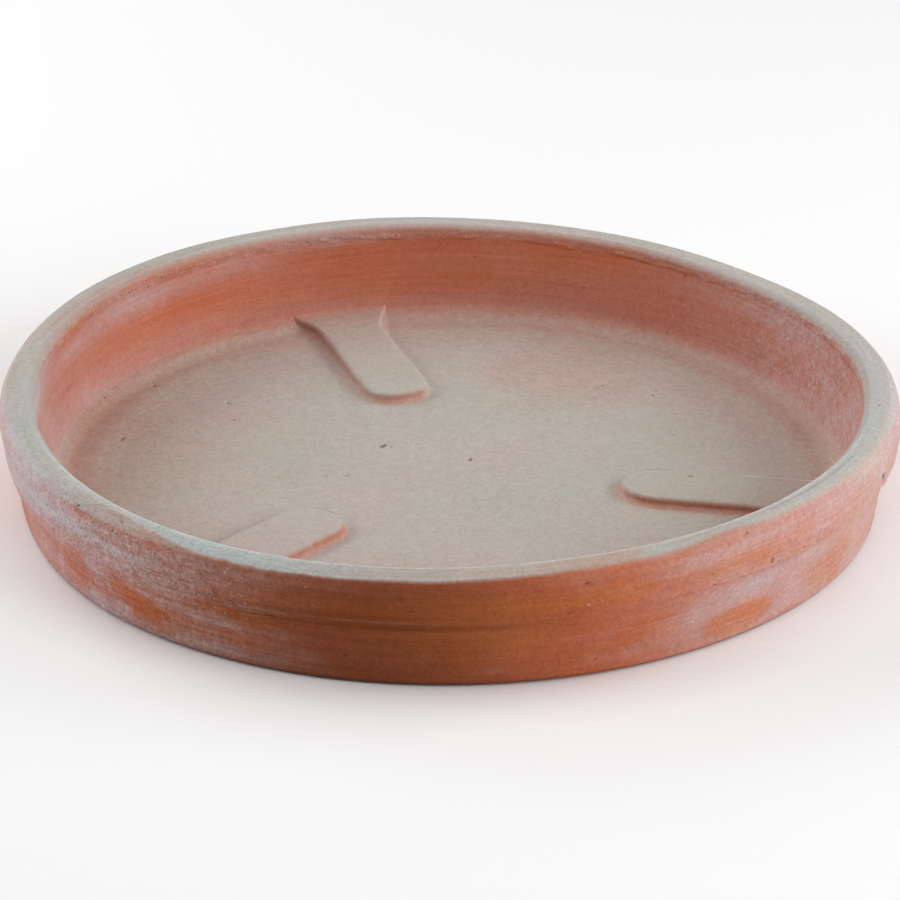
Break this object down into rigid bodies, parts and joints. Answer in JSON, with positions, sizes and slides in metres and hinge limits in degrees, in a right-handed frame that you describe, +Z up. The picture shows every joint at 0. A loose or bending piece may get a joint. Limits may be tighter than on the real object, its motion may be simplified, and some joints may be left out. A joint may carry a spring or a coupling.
{
  "type": "plant saucer",
  "caption": "Round shallow terracotta saucer with a thick stepped rim and raised tongue-shaped rests on its floor, to stand under a plant pot and catch water.",
  "frame": {"origin": "centre of the flat underside, on the surface that the saucer stands on", "axes": "+Z up along the axis of the round body; +Y from the centre towards pot_rest_back"},
  "size_m": [0.35, 0.35, 0.047],
  "materials": {
    "base_slab": "matt unglazed fired clay with a grey-white lime bloom",
    "side_wall": "matt unglazed fired clay, orange-brown, with patchy pale bloom",
    "rim_band": "matt unglazed fired clay, pale bloom on the top, orange-brown on the side",
    "pot_rest_back": "matt unglazed fired clay with a grey-white lime bloom on the top",
    "pot_rest_left": "matt unglazed fired clay with a grey-white lime bloom on the top",
    "pot_rest_right": "matt unglazed fired clay with a grey-white lime bloom on the top"
  },
  "bodies": {
    "root": {"base_slab": "base_slab", "side_wall": "side_wall", "rim_band": "rim_band", "pot_rest_back": "pot_rest_back", "pot_rest_left": "pot_rest_left", "pot_rest_right": "pot_rest_right"}
  },
  "joints": []
}
